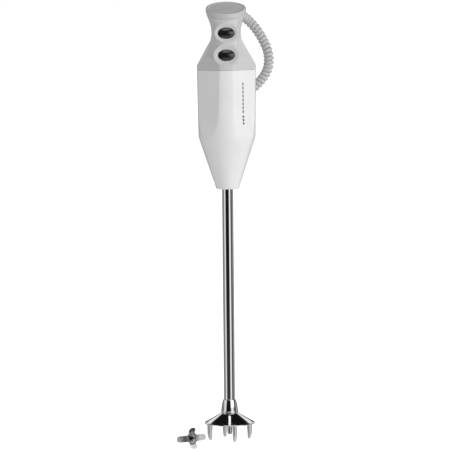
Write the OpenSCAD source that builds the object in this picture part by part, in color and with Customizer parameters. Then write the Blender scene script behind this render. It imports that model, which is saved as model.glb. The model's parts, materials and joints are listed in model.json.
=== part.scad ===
// Two-speed immersion blender with a long shaft, a curly mains cord and a loose cross blade.
// Frame: millimetres, +Z up. The origin is on the shaft's axis in the plane of the foot tips.
// The buttons face -Y.

/* [Motor housing] */
// Diameter of the housing at the joint line
body_d = 65; // [64:0.5:66]
// Diameter of the housing where its nose cone begins
waist_d = 62.8; // [62:0.2:63.4]
// Diameter of the nose at its lower end
nose_d = 24.6; // [24.2:0.2:26]
// Distance across two opposite flats
flats = 55.6; // [55:0.2:56.4]
// Radius at which each flat runs out at its foot
flat_runout_r = 110; // [105:1:120]
// Wall thickness of the housing
wall = 2.5; // [2.3:0.1:2.6]

/* [Heights] */
// Height of the nose above the surface that the feet stand on
nose_z = 279.5; // [278:0.5:281]
// Height where the nose cone ends
cone_z = 337; // [335:1:338]
// Height at which the flats begin to run out
flat_z = 365; // [362:1:368]
// Height of the joint between the housing and the upper casing
joint_z = 411; // [410.5:0.1:411.5]

/* [Grip] */
// Diameter of the grip's neck
neck_d = 32.2; // [32:0.2:34]
// Diameter of the grip's flared top
head_d = 45.2; // [44.8:0.2:46]
// Width of the column that carries the buttons
column_w = 25.6; // [25:0.2:27]
// Thickness of the top cap
cap_t = 5.2; // [5:0.1:5.6]
// Slope of the top face, lower at the front
cap_slope = 16.5; // [16:0.5:17]

/* [Buttons] */
// Width of each button
button_w = 18; // [17:0.5:18.5]
// Height of each button
button_h = 12; // [11:0.5:12.5]
// Distance between the two buttons along the grip's face
button_gap = 24.4; // [24:0.2:25]
// Travel of each button
travel = 2; // [1.5:0.1:2.2]

/* [Shaft] */
// Outer diameter of the shaft tube
tube_d = 12; // [11.8:0.1:12.2]
// Wall thickness of the shaft tube
tube_wall = 1; // [0.8:0.1:1]
// Diameter of the drive spigot and the lower end of the drive shaft
spigot_d = 5.4; // [5.2:0.1:5.4]
// Height of the drive spigot's tip above the surface
spigot_z = 6; // [5:0.5:7]

/* [Guard] */
// Diameter of the guard's rim
guard_d = 55.6; // [54:0.2:56]
// Height of the rim's lower edge
rim_z = 18; // [17:0.5:19]
// Height of the guard's upper end
guard_top_z = 30; // [29.5:0.1:30.5]
// Turn of the four feet about the shaft
feet_turn = 14; // [0:1:20]

/* [Loose blade] */
// Distance across the blade's wings before they are bent
blade_span = 35; // [34:0.5:36]
// Width of each wing
wing_w = 7; // [6:0.5:7.5]
// Thickness of the blade's sheet
wing_t = 1.2; // [1:0.1:1.4]

/* [Cord] */
// Outer diameter of the curly cord
coil_d = 11.6; // [11:0.1:12]
// Diameter of the cord itself
cord_d = 4.6; // [4.4:0.1:5]

/* [Hidden] */
$fn = 64;

body_r = body_d / 2;
waist_r = waist_d / 2;
nose_r = nose_d / 2;
flat_r = flats / 2;
tube_r = tube_d / 2;
tube_bore_r = tube_r - tube_wall;
spigot_r = spigot_d / 2;
shaft_r = spigot_r + 0.2;
guard_r = guard_d / 2;
fit = 0.05;            // gap of a close fit between fixed pieces
run = 0.04;            // radial gap of a running fit
eps = 0.01;

// Grip: the joint, shoulder, neck and head
casing_z = joint_z + 0.5;
band_top_z = 416.5;
shoulder_r = 17.2;
shoulder_z = 444.5;
neck_r = neck_d / 2;
head_r = head_d / 2;
grip_wall = 2;
face_wall = 3.4;       // before the finger wells are cut
cap_centre_z = 479.3;
cap_gap = 0.8;
face_slope = 10;       // lean of the button face
face_z = 452;          // height of the upper button's centre
face_y = -25.9;        // place of the button face at that height
board_depth = 16;      // from the button face to the circuit board
well_depth = 1.4;
well_r = 50;

// Motor
motor_shaft_r = 3;
bearing_z = 314;
bearing_r = 8;
top_bearing_z = 400.5;
top_bearing_r = 7.5;
bearing_t = 5;
fan_z = 326;
stack_z = 345;
stack_h = 32;
stack_r = 24.5;
armature_r = 14.2;
bore_r = 14.6;
coil_r = 18.8;
wire_r = 3.3;
bolt_x = 21;
commutator_z = 387;
commutator_h = 10;
commutator_r = 8;
brush_z = commutator_z + commutator_h / 2;
bracket_z = 399;
coupling_z = 301;

// Guard and feet
foot_in_r = 19.5;
foot_out_r = 25.7;
foot_w = 4.4;
ferrule_top_z = 45.2;

// Loose blade: where its hub's foot lies, and how it is turned
blade_at = [-40.8, -72, 12.3];
blade_tip = [81.4, 0, -17.7];
blade_roll = 8;
side_bend = 25;
upright_bend = -50;
upright_reach = 6.5;
wing_end = 1.2;
hub_r = 4.6;
hub_h = 9;
hub_bore_r = 2.75;

// Cord: the curly stretch, from the strain relief round the right side and down behind the shaft
COIL = [
  [14, 43, 470], [16.5, 51, 470], [20, 57, 468], [25, 61, 464], [31, 63, 457.5], [36.5, 64, 450],
  [41.5, 64, 441.5], [45.5, 63, 432.5], [47.5, 62, 423], [47.2, 60, 413.5], [44, 57, 404.5],
  [38.5, 54, 397], [31.5, 51, 390], [24, 48, 383.5], [16, 45.5, 376], [8.5, 43.5, 366.5],
  [3, 42.3, 355], [0.5, 42, 341], [0, 42, 325], [0, 42, 305], [0, 42, 285], [0, 42, 265],
  [0, 42, 247], [0, 42.8, 231], [0, 47, 219], [0, 54, 213.5], [0, 61, 213.5], [0, 68, 219],
  [0, 71.5, 230], [0, 71, 245], [0, 67.5, 259], [0, 62.5, 271]
];
// Cord: the straight stretch from the curly one to the plug
TAIL = [[0, 62.5, 271], [0, 59.6, 278], [0, 57.2, 285], [0, 56.2, 291], [0, 56, 297], [0, 56, 302]];
// Cord inside the grip, from the strain relief to the circuit board
INNER = [[13.8, 42.4, 470], [4.1, 11.3, 470], [3, 9.4, 468.8], [1.5, 8.6, 466], [0.3, 8.4, 462.5],
         [0, 8.4, 459.5], [0, 8.4, 450], [0, 6.6, 446.8], [0, 3, 445], [0, -2.5, 444.6], [0, -8.6, 444.6]];
// One motor lead, from the circuit board to its brush holder
LEAD = [[6, -13, 419], [8, -14, 413], [8.6, -14.6, 406], [8.8, -14.4, 399], [10.5, -12, 396.5],
        [12, -8, 395], [12, -4.55, 395]];
relief_turn = atan2(COIL[1][0] - COIL[0][0], COIL[1][1] - COIL[0][1]);
relief_l = 26;
relief_r = 6.1;
tie_z = 286;
tie_h = 9;
plug_y = 56;
plug_z = 302;
plug_w = 35.3;
plug_t = 13.7;
plug_h = 36;
pin_gap = 19;
pin_r = 2;
pin_l = 19;

// Sweeping a round tube along a route
function unit(v) = v / norm(v);
function heading(p, i) = unit(p[min(i + 1, len(p) - 1)] - p[max(i - 1, 0)]);
function square_to(v, t) = unit(v - t * (v * t));
function sides_of(p, last, i = 0) =
  i == len(p) ? [] :
  let (n = square_to(last, heading(p, i))) concat([n], sides_of(p, n, i + 1));

module tube_along(p, r, start_side, corners = 10) {
  side = sides_of(p, start_side);
  ring = [for (i = [0:len(p) - 1], k = [0:corners - 1])
    let (a = 360 * k / corners)
    p[i] + r * (cos(a) * side[i] + sin(a) * cross(heading(p, i), side[i]))];
  last = (len(p) - 1) * corners;
  walls = [for (i = [0:len(p) - 2], k = [0:corners - 1])
    let (a = i * corners + k, b = i * corners + (k + 1) % corners)
    [a, a + corners, b + corners, b]];
  ends = [[for (k = [0:corners - 1]) k], [for (k = [corners - 1:-1:0]) last + k]];
  polyhedron(ring, concat(walls, ends));
}

module ring(z, h, r_out, r_in) {
  translate([0, 0, z])
    difference() {
      cylinder(h = h, r = r_out);
      translate([0, 0, -1]) cylinder(h = h + 2, r = r_in);
    }
}

module rod(z, h, r) {
  translate([0, 0, z]) cylinder(h = h, r = r);
}

// Outline of one flat, seen along it: x is the distance from the shaft's axis
flat_steps = 9;
flat_step_z = 4;
function flat_outline(d) = concat(
  [[d + 40, joint_z + 40], [d, joint_z + 40], [d, flat_z]],
  [for (i = [1:flat_steps])
    [d + flat_runout_r - sqrt(pow(flat_runout_r, 2) - pow(i * flat_step_z, 2)), flat_z - i * flat_step_z]],
  [[d + 40, flat_z - flat_steps * flat_step_z]]);

module flat_cutters(inset = 0) {
  for (a = [45:90:315])
    rotate([0, 0, a])
      rotate([90, 0, 0])
        linear_extrude(height = 70, center = true)
          polygon(flat_outline(flat_r - inset));
}

// The round body, cut by its four flats. inset shrinks it all round
module body_solid(inset, z_low, z_high) {
  cone_lean = (waist_r - nose_r) / (cone_z - nose_z);
  side_lean = (body_r - waist_r) / (joint_z - cone_z);
  low_r = z_low < cone_z ? nose_r + (z_low - nose_z) * cone_lean : waist_r + (z_low - cone_z) * side_lean;
  high_r = body_r + (z_high - joint_z) * side_lean;
  difference() {
    rotate_extrude()
      polygon(concat(
        [[0, z_low], [low_r - inset, z_low]],
        z_low < cone_z ? [[waist_r - inset, cone_z]] : [],
        [[high_r - inset, z_high], [0, z_high]]));
    flat_cutters(inset);
  }
}

// Half outline of the grip
GRIP = [
  [body_r, casing_z], [body_r, band_top_z], [shoulder_r, shoulder_z], [neck_r + 0.2, 449], [neck_r, 452.5],
  [neck_r + 0.4, 457], [neck_r + 1.3, 461], [neck_r + 2.5, 464.6], [head_r - 2.4, 468.5],
  [head_r - 1, 472.5], [head_r - 0.2, 476.5], [head_r, 480], [head_r, 494]
];

// Moves a shape from the button face's own frame: x across, y up the face, z inwards from the face
module on_face(down = 0) {
  translate([0, face_y, face_z])
    rotate([-face_slope, 0, 0])
      translate([0, 0, -down])
        rotate([-90, 0, 0])
          mirror([0, 1, 0])
            children();
}

// The column that carries the buttons, shrunk by one inset at its sides and by another at its face
module column(inset, face_inset) {
  half = column_w / 2 - inset;
  chamfer = max(0.3, 2 - face_inset * 0.5);
  intersection() {
    on_face()
      rotate([90, 0, 0])
        linear_extrude(height = 90, center = true)
          polygon([[-half, 22], [-half, face_inset + chamfer], [chamfer - half, face_inset],
                   [half - chamfer, face_inset], [half, face_inset + chamfer], [half, 22]]);
    rotate_extrude()
      polygon([[0, casing_z], [body_r - inset, casing_z], [body_r - inset, 440], [27.8 - inset, 454],
               [23.6 - inset, 462], [head_r - inset, 466], [head_r - inset, 494], [0, 494]]);
  }
}

module grip_solid(inset) {
  difference() {
    rotate_extrude()
      polygon(concat([[0, casing_z]], [for (p = GRIP) [p[0] - inset, p[1]]], [[0, 494]]));
    flat_cutters(inset);
  }
  column(inset, inset * face_wall / grip_wall);
}

// The space between two planes parallel to the top face, given as depths below it
module cap_slab(from, to) {
  translate([0, 0, cap_centre_z])
    rotate([cap_slope, 0, 0])
      translate([-40, -40, -to])
        cube([80, 80, to - from]);
}

// Radius that just clears the inside of the nose cone
function cone_bore(z) = nose_r + (z - nose_z) * (waist_r - nose_r) / (cone_z - nose_z) - wall - fit;

module motor_housing() {
  color("white")
    difference() {
      body_solid(0, nose_z, joint_z);
      body_solid(wall, nose_z + 6, joint_z + 1);
      rod(nose_z - 1, 10, tube_r + fit);
      rod(nose_z - 1, 4, tube_r + 1.6);
    }
}

module upper_casing() {
  color("lightgray")
    difference() {
      grip_solid(0);
      cap_slab(-40, cap_t + cap_gap);
      translate([0, 0, -eps]) grip_solid(grip_wall);
      for (down = [0, button_gap])
        on_face(down) {
          oval(button_w + 0.6, button_h + 0.6, -5, 14);
          translate([0, 0, well_depth - well_r]) sphere(r = well_r, $fn = 96);
        }
      relief_frame() rod(-relief_l - 12, relief_l + 12, relief_r + 0.1);
      for (a = [0, 90, 180]) screw_place(a) screw_hole();
    }
  color("lightgray")
    difference() {
      clamp_places() translate([0, 0, 7.45]) cylinder(h = 2.7, r = 2.4);
      clamp_places() cylinder(h = 20, r = 1.05);
    }
}

// An upright oval prism in the button frame, from depth a to depth b
module oval(w, h, a, b) {
  translate([0, 0, a]) scale([w / h, 1, 1]) cylinder(h = b - a, d = h);
}

module top_cap() {
  color([0.72, 0.72, 0.72]) {
    intersection() {
      grip_solid(0);
      cap_slab(0, cap_t);
    }
    intersection() {
      difference() {
        grip_solid(grip_wall + 0.2);
        grip_solid(grip_wall + 1.9);
        relief_frame() rod(-relief_l - 12, relief_l + 12, relief_r + 0.5);
      }
      cap_slab(cap_t - eps, cap_t + 5);
    }
  }
}

module cap_seal() {
  color("dimgray")
    intersection() {
      difference() {
        grip_solid(0.9);
        grip_solid(grip_wall + 0.1);
      }
      cap_slab(cap_t, cap_t + cap_gap);
    }
}

module joint_seal() {
  color("dimgray")
    difference() {
      body_solid(0.6, joint_z, casing_z);
      body_solid(wall, joint_z - 1, casing_z + 1);
    }
}

module joint_ring() {
  color("silver")
    difference() {
      body_solid(2.75, 403, 416.4);
      body_solid(5, 402, 418);
      for (a = [0, 90, 180]) screw_place(a) rod(-2, 12, 1.05);
    }
}

// Moves a shape to a radial screw through the casing's band. z runs inwards from the surface
screw_z = 414;
module screw_place(a) {
  rotate([0, 0, a])
    translate([body_r, 0, screw_z])
      rotate([0, -90, 0])
        children();
}

module screw_hole() {
  translate([0, 0, -1]) cylinder(h = 10, r = 1.6);
  translate([0, 0, -1]) cylinder(h = 1.5, r = 2.9);
  translate([0, 0, 0.5]) cylinder(h = 1.5, r1 = 2.9, r2 = 1.6);
}

module casing_screws() {
  color("gray")
    for (a = [0, 90, 180])
      screw_place(a)
        difference() {
          union() {
            translate([0, 0, 0.3]) cylinder(h = 1.4, r1 = 2.7, r2 = 1.3);
            rod(1, 5.2, 1);
          }
          translate([-0.4, -0.4, 0]) cube([0.8, 0.8, 1]);
        }
}

module nose_seal() {
  color("dimgray") ring(nose_z + 0.2, 2.7, tube_r + 1.5, tube_r + fit);
}

module tube_collar() {
  color("silver")
    difference() {
      union() {
        rod(nose_z + 6, 13, 9.5);
        rod(nose_z + 6, 3, 11.2);
      }
      rod(nose_z, 30, tube_r + fit);
    }
}

tube_z = 27;
module shaft_tube() {
  color("silver") ring(tube_z, 299 - tube_z, tube_r, tube_bore_r);
}

module ferrule() {
  color("silver")
    rotate_extrude()
      polygon([[tube_r + fit, guard_top_z + 0.3], [9.6, guard_top_z + 0.3], [9.8, guard_top_z + 0.8],
               [9.8, guard_top_z + 1.6], [9.3, guard_top_z + 2], [9.1, 34], [8.7, 37], [8.1, 40.5],
               [7.4, 43.6], [6.9, ferrule_top_z], [tube_r + fit, ferrule_top_z]]);
}

// One foot, standing on +X: its outline seen from the side, crossed with its outline seen from outside
module foot() {
  intersection() {
    rotate([90, 0, 0])
      linear_extrude(height = 10, center = true)
        polygon([[foot_in_r, rim_z + 2], [foot_in_r + 0.8, 8], [foot_in_r + 1.3, 0],
                 [foot_in_r + 3.2, 0], [foot_in_r + 4.6, 2.6], [foot_out_r - 0.3, 7.5],
                 [foot_out_r, rim_z + 2]]);
    rotate([90, 0, 90])
      linear_extrude(height = 40)
        polygon([[-foot_w / 2, 20], [-foot_w / 2 + 0.1, 8], [-foot_w / 2 + 0.5, 3], [-1.2, 0],
                 [1.2, 0], [foot_w / 2 - 0.5, 3], [foot_w / 2 - 0.1, 8], [foot_w / 2, 20]]);
  }
}

module guard() {
  rim_h = 1.8;
  bell_t = 1.2;
  color("silver") {
    rotate_extrude()
      polygon([[tube_r + fit, guard_top_z + 0.3], [9.4, guard_top_z + 0.3], [9.4, guard_top_z],
               [guard_r - 1, rim_z + rim_h + 0.4], [guard_r, rim_z + rim_h], [guard_r, rim_z],
               [guard_r - bell_t, rim_z], [8.4, guard_top_z - bell_t - 1.2],
               [tube_r + fit, guard_top_z - bell_t - 1.2]]);
    for (a = [0:90:270])
      rotate([0, 0, a + feet_turn])
        foot();
  }
}

module lower_bush() {
  color("goldenrod") ring(36, 10, tube_bore_r - fit, shaft_r + run);
}

module shaft_seal() {
  color("dimgray") ring(tube_z + 0.6, 3.4, tube_bore_r - fit, shaft_r + run);
}

module mid_bush() {
  color("goldenrod") ring(150, 10, tube_bore_r - fit, 2 + run);
}

module upper_bush() {
  color("goldenrod") ring(286, 10, tube_bore_r - fit, 2 + run);
}

// The drive shaft's lower end: a groove for the retaining ring, the spigot that a blade slides onto, a thinner
// stretch with the cross pin, then the thicker shaft
groove_z = 8;
spigot_top_z = 20;
thin_r = spigot_r - 0.2;
pin_z = 22;
step_z = 24.5;
module drive_shaft() {
  color("silver")
    difference() {
      rotate_extrude()
        polygon([[0, spigot_z], [thin_r - 0.6, spigot_z], [thin_r, spigot_z + 0.6], [thin_r, groove_z],
                 [spigot_r - 0.5, groove_z], [spigot_r - 0.5, groove_z + 1], [spigot_r, groove_z + 1],
                 [spigot_r, spigot_top_z], [thin_r, spigot_top_z], [thin_r, step_z], [shaft_r, step_z],
                 [shaft_r, 50], [2, 52], [2, coupling_z + 6], [0, coupling_z + 6]]);
      translate([0, 0, pin_z]) rotate([0, 90, 0]) cylinder(h = 12, r = 1, center = true);
    }
}

module drive_pin() {
  color("silver")
    translate([0, 0, pin_z]) rotate([0, 90, 0]) cylinder(h = 9, r = 1, center = true);
}

module retaining_ring() {
  color("dimgray") ring(groove_z + 0.1, 0.8, spigot_r - 0.05, spigot_r - 0.5);
}

// Two jaws a quarter of a turn wide, at either side of the axis
jaw_h = 5;
module jaws(z, turn) {
  for (a = [turn, turn + 180])
    rotate([0, 0, a])
      translate([0, 0, z])
        rotate_extrude(angle = 84)
          translate([2.6, 0]) square([4, jaw_h]);
}

module shaft_coupling() {
  color("white") {
    ring(coupling_z, 4, 6.6, 2);
    jaws(coupling_z + 4 - eps, 3);
  }
}

module motor_coupling() {
  color("white") {
    ring(coupling_z + 4 + jaw_h + 0.2, 3, 6.6, motor_shaft_r - 0.5);
    jaws(coupling_z + 4.2, 93);
  }
}

module motor_shaft() {
  color("silver") {
    rod(coupling_z + 4 + jaw_h + 0.2, 3.6, motor_shaft_r - 0.5);
    rod(coupling_z + 4 + jaw_h + 3.8 - eps, 407 - coupling_z - 12.8, motor_shaft_r);
  }
}

module cooling_fan() {
  blades = 9;
  color("whitesmoke") {
    ring(fan_z, 8, 6, motor_shaft_r);
    ring(fan_z, 1.2, 17.4, 5.5);
    for (a = [0:360 / blades:359])
      rotate([0, 0, a])
        translate([5.5, -0.6, fan_z]) cube([11.5, 1.2, 7]);
  }
}

module armature_core() {
  slots = 12;
  color("gray")
    difference() {
      ring(stack_z, stack_h, armature_r, motor_shaft_r);
      for (a = [0:360 / slots:359])
        rotate([0, 0, a])
          translate([10, -0.8, stack_z - 1]) cube([6, 1.6, stack_h + 2]);
    }
}

module armature_winding() {
  color("chocolate")
    for (z = [stack_z - 8, stack_z + stack_h])
      rotate_extrude()
        polygon([[motor_shaft_r + 1.5, z], [10.5, z], [12.6, z + 2], [12.6, z + 6], [10.5, z + 8],
                 [motor_shaft_r + 1.5, z + 8]]);
}

module commutator() {
  bars = 12;
  color("peru")
    difference() {
      ring(commutator_z, commutator_h, commutator_r, motor_shaft_r);
      for (a = [15:360 / bars:374])
        rotate([0, 0, a])
          translate([commutator_r - 0.8, -0.2, commutator_z - 1]) cube([2, 0.4, commutator_h + 2]);
    }
}

module stator_core() {
  color("gray")
    difference() {
      rod(stack_z, stack_h, stack_r);
      rod(stack_z - 1, stack_h + 2, bore_r);
      for (a = [45:90:315])
        rotate([0, 0, a])
          translate([coil_r, 0, stack_z - 1]) cylinder(h = stack_h + 2, r = wire_r + 0.25);
      for (x = [-bolt_x, bolt_x])
        translate([x, 0, stack_z - 1]) cylinder(h = stack_h + 2, r = 1.6);
    }
}

module field_coils() {
  end_z = 4.2;
  color("chocolate")
    for (turn = [45, 225])
      rotate([0, 0, turn]) {
        for (a = [0, 90])
          rotate([0, 0, a])
            translate([coil_r, 0, stack_z - end_z]) cylinder(h = stack_h + 2 * end_z, r = wire_r);
        for (z = [stack_z - end_z, stack_z + stack_h + end_z])
          translate([0, 0, z])
            rotate_extrude(angle = 90)
              translate([coil_r, 0]) circle(r = wire_r);
      }
}

module lower_bracket() {
  color("silver")
    difference() {
      union() {
        rod(bearing_z - 2, 9.5, 19.6);
        translate([-bolt_x, -3, 321]) cube([2 * bolt_x, 6, 3]);
        for (x = [-bolt_x, bolt_x])
          translate([x, 0, 321]) cylinder(h = stack_z - 321, r = 2.2);
      }
      rod(bearing_z - 3, 2.3, 7.4);
      rod(bearing_z - 3, 20, 5);
      rod(bearing_z, 20, bearing_r + fit);
      for (a = [45:90:315])
        rotate([0, 0, a])
          translate([14, 0, bearing_z - 3]) cylinder(h = 20, r = 3.6);
      for (x = [-bolt_x, bolt_x])
        translate([x, 0, 330]) cylinder(h = 20, r = 1.3);
    }
}

module bearing(z, r_out) {
  color("silver") ring(z, bearing_t, r_out, motor_shaft_r + run);
}

module lower_bearing() {
  bearing(bearing_z, bearing_r);
}

module upper_bearing() {
  bearing(top_bearing_z, top_bearing_r);
}

module upper_bracket() {
  color("silver")
    difference() {
      union() {
        rod(bracket_z, 3, 24.4);
        rod(bracket_z, 8, 10.5);
      }
      rod(bracket_z - 1, 20, 5);
      rod(top_bearing_z, 20, top_bearing_r + fit);
      for (x = [-bolt_x, bolt_x])
        translate([x, 0, bracket_z - 1]) cylinder(h = 6, r = 1.6);
      for (a = [60:60:120], turn = [0, 180])
        rotate([0, 0, a + turn])
          translate([17, 0, bracket_z - 1]) cylinder(h = 6, r = 4.5);
    }
}

module motor_mount_ring() {
  color("dimgray")
    rotate_extrude()
      polygon([[19.65, 315], [cone_bore(315), 315], [cone_bore(320), 320], [19.65, 320]]);
}

module bracket_bolts() {
  color("gray")
    for (x = [-bolt_x, bolt_x])
      translate([x, 0, 0]) {
        rod(332, bracket_z + 3 - 332 + eps, 1.25);
        rod(bracket_z + 3, 2, 2.6);
      }
}

holder_x = 9.6;
holder_l = 9.8;
brush_end_x = 13.4;
module brush_holders() {
  color("tan")
    for (turn = [0, 180])
      rotate([0, 0, turn])
        difference() {
          translate([holder_x, -4.5, brush_z - 5.5]) cube([holder_l, 9, 12.5]);
          translate([holder_x - 1, -3, brush_z - 4]) cube([holder_l + 0.2, 6, 8]);
        }
}

module carbon_brushes() {
  color("black")
    for (turn = [0, 180])
      rotate([0, 0, turn])
        difference() {
          translate([5, -2.9, brush_z - 3.9]) cube([brush_end_x - 5, 5.8, 7.8]);
          rod(brush_z - 6, 12, commutator_r + run);
        }
}

module coil_spring(length, r, wire, turns) {
  steps = 10;
  tube_along(
    [for (i = [0:turns * steps]) let (a = 360 * i / steps) [r * cos(a), r * sin(a), length * i / (turns * steps)]],
    wire, [1, 0, 0], 6);
}

module brush_springs() {
  color("silver")
    for (turn = [0, 180])
      rotate([0, 0, turn])
        translate([brush_end_x + 0.3, 0, brush_z]) rotate([0, 90, 0]) coil_spring(4.6, 2, 0.25, 4);
}

module suppressor_capacitor() {
  color("gold") translate([0, 19.5, 402.1]) cylinder(h = 14, r = 4.2);
}

// One button: its cap, the flange that keeps it in, and the stem that works the switch
module button(down) {
  color("black")
    on_face(down) {
      oval(button_w, button_h, -0.6, 4.4);
      oval(button_w + 2.6, button_h + 3, 4.35, 5.4);
      translate([0, 0, 5.3]) cylinder(h = 2.7, r = 2.2);
    }
}

module button_high() {
  button(0);
}

module button_low() {
  button(button_gap);
}

module button_seals() {
  color("dimgray")
    for (down = [0, button_gap])
      on_face(down)
        difference() {
          oval(button_w + 2.8, button_h + 3.2, face_wall + fit, 4.3);
          oval(button_w + 0.6, button_h + 0.6, 3, 6);
        }
}

module button_spring(down) {
  color("silver")
    on_face(down)
      translate([0, 0, 5.66]) coil_spring(4.6, 3.2, 0.25, 4);
}

module button_spring_high() {
  button_spring(0);
}

module button_spring_low() {
  button_spring(button_gap);
}

switch_t = 5.4;
module micro_switch(down) {
  color("darkslategray")
    on_face(down)
      difference() {
        translate([-6.4, -3.2, board_depth - switch_t]) cube([12.8, 6.4, switch_t]);
        translate([0, 0, board_depth - switch_t - 1]) cylinder(h = 5.2, r = 1.25);
      }
}

module switch_high() {
  micro_switch(0);
}

module switch_low() {
  micro_switch(button_gap);
}

module switch_plunger(down) {
  color("firebrick")
    on_face(down)
      translate([0, 0, 8.05]) cylinder(h = 4.6, r = 1.2);
}

module switch_plunger_high() {
  switch_plunger(0);
}

module switch_plunger_low() {
  switch_plunger(button_gap);
}

module circuit_board() {
  color("seagreen")
    on_face()
      translate([-9, -button_gap - 10, board_depth]) cube([18, button_gap + 18, 1.6]);
}

module inner_leads() {
  color("black") {
    tube_along(INNER, cord_d / 2, [0, 0, 1], 8);
    tube_along(LEAD, 0.8, [0, 1, 0], 8);
    mirror([1, 0, 0]) tube_along(LEAD, 0.8, [0, 1, 0], 8);
  }
}

// Moves a shape to the two screws of the cord clamp. z runs backwards from the heads
clamp_z = 452;
module clamp_places() {
  for (x = [-5.2, 5.2])
    translate([x, 3.6, clamp_z + 3.5])
      rotate([-90, 0, 0])
        children();
}

module cord_clamp() {
  color("white")
    difference() {
      translate([-7.5, 5, clamp_z]) cube([15, 6, 7]);
      translate([0, 8.4, clamp_z - 1]) cylinder(h = 9, r = cord_d / 2 + fit);
      clamp_places() cylinder(h = 20, r = 1.05);
    }
}

module clamp_screws() {
  color("gray")
    clamp_places() {
      cylinder(h = 1.4, r = 2);
      cylinder(h = 9.3, r = 1);
    }
}

// Moves a shape to the strain relief's outer end. z runs back out of the grip
module relief_frame() {
  translate(COIL[0])
    rotate([0, 0, -relief_turn])
      rotate([-90, 0, 0])
        children();
}

module strain_relief() {
  color("lightgray")
    relief_frame()
      rotate_extrude()
        polygon([[2.4, -relief_l - 6.6], [7, -relief_l - 6.6], [7, -relief_l - 5], [relief_r, -relief_l - 5],
                 [relief_r, -relief_l + 6], [5.2, -relief_l + 7], [3.6, 0], [2.4, 0]]);
}

module cord_coil() {
  color("gainsboro") tube_along(COIL, coil_d / 2, [0, 0, 1]);
}

module cord_tail() {
  color("gainsboro") tube_along(TAIL, cord_d / 2, [1, 0, 0], 8);
}

module cord_tie() {
  tie_t = 1.2;
  color("dimgray")
    translate([0, 0, tie_z])
      linear_extrude(height = tie_h)
        difference() {
          tie_outline(tie_t);
          tie_outline(0);
        }
}

module tie_outline(grow) {
  hull() {
    translate([0, 42]) circle(r = coil_d / 2 + 0.15 + grow, $fn = 32);
    translate([0, 56.6]) circle(r = cord_d / 2 + 0.6 + grow, $fn = 32);
  }
}

// Outline of the flat plug seen from the front, with its lower corners cut back
module plug_body() {
  color("white")
    translate([0, plug_y, plug_z])
      intersection() {
        rotate([90, 0, 0])
          linear_extrude(height = plug_t, center = true)
            polygon([[-5, 0], [-plug_w / 2 + 5, 9], [-plug_w / 2, 22], [-plug_w / 2, plug_h], [plug_w / 2, plug_h],
                     [plug_w / 2, 22], [plug_w / 2 - 5, 9], [5, 0]]);
        rotate([90, 0, 90])
          linear_extrude(height = plug_w + 2, center = true)
            polygon([[-4, 0], [-plug_t / 2, 10], [-plug_t / 2, plug_h], [plug_t / 2, plug_h], [plug_t / 2, 10],
                     [4, 0]]);
      }
}

module plug_pins() {
  color("silver")
    for (x = [-pin_gap / 2, pin_gap / 2])
      translate([x, plug_y, plug_z + plug_h]) {
        cylinder(h = pin_l - 1, r = pin_r);
        translate([0, 0, pin_l - 1]) cylinder(h = 1, r1 = pin_r, r2 = pin_r - 1);
      }
}

// Moves a shape to the loose blade's own frame, with its hub's axis along z
module blade_frame() {
  translate(blade_at)
    rotate(blade_tip)
      rotate([0, 0, blade_roll])
        children();
}

module blade_hub() {
  slot_w = 2.4;
  color("silver")
    blade_frame()
      difference() {
        translate([0, 0, -1]) cylinder(h = hub_h, r = hub_r);
        translate([0, 0, -2]) cylinder(h = hub_h + 2, r = hub_bore_r);
        translate([-hub_r - 1, -slot_w / 2, hub_h - 4.5]) cube([2 * hub_r + 2, slot_w, 5]);
      }
}

// Two opposite wings: a strip with both its ends bent up by the given angle, cut to pointed ends
module wing_pair(bend, reach) {
  flat_l = 6.5;
  mitre = wing_t * tan(bend / 2);
  tip = [flat_l + reach * cos(bend), reach * sin(bend)];
  top_tip = tip + wing_t * [-sin(bend), cos(bend)];
  half = wing_w / 2;
  mid = flat_l + reach * cos(bend) * 0.55;
  end = tip[0] + wing_t;
  intersection() {
    rotate([90, 0, 0])
      linear_extrude(height = wing_w, center = true)
        polygon([[-tip[0], tip[1]], [-flat_l, 0], [flat_l, 0], tip, top_tip, [flat_l - mitre, wing_t],
                 [mitre - flat_l, wing_t], [-top_tip[0], top_tip[1]]]);
    translate([0, 0, -30])
      linear_extrude(height = 60)
        polygon([[-end, -wing_end], [-mid, -half - 1], [mid, -half - 1], [end, -wing_end],
                 [end, wing_end], [mid, half + 1], [-mid, half + 1], [-end, wing_end]]);
  }
}

module blade_cutters() {
  color("silver")
    blade_frame()
      difference() {
        union() {
          cylinder(h = wing_t, r = 6.2);
          wing_pair(side_bend, blade_span / 2 - 6.5);
          rotate([0, 0, 90]) wing_pair(upright_bend, upright_reach);
        }
        translate([0, 0, -10]) cylinder(h = 30, r = hub_r + fit);
      }
}

motor_housing();
upper_casing();
top_cap();
cap_seal();
joint_seal();
joint_ring();
casing_screws();
nose_seal();
tube_collar();
shaft_tube();
ferrule();
guard();
lower_bush();
shaft_seal();
mid_bush();
upper_bush();
drive_shaft();
drive_pin();
retaining_ring();
shaft_coupling();
motor_coupling();
motor_shaft();
cooling_fan();
armature_core();
armature_winding();
commutator();
stator_core();
field_coils();
lower_bracket();
upper_bracket();
lower_bearing();
upper_bearing();
motor_mount_ring();
bracket_bolts();
brush_holders();
carbon_brushes();
brush_springs();
suppressor_capacitor();
button_high();
button_low();
button_seals();
button_spring_high();
button_spring_low();
switch_high();
switch_low();
switch_plunger_high();
switch_plunger_low();
circuit_board();
inner_leads();
cord_clamp();
clamp_screws();
strain_relief();
cord_coil();
cord_tail();
cord_tie();
plug_body();
plug_pins();
blade_hub();
blade_cutters();
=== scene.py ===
"""Immersion blender: the looks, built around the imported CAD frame.

Lengths are in millimetres in the shape functions and become metres when a mesh is made.
+Z is up and the buttons face -Y, as in the CAD.
"""
import json
import math

import bmesh
import bpy
import numpy as np
from mathutils import Euler, Matrix, Vector


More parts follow.
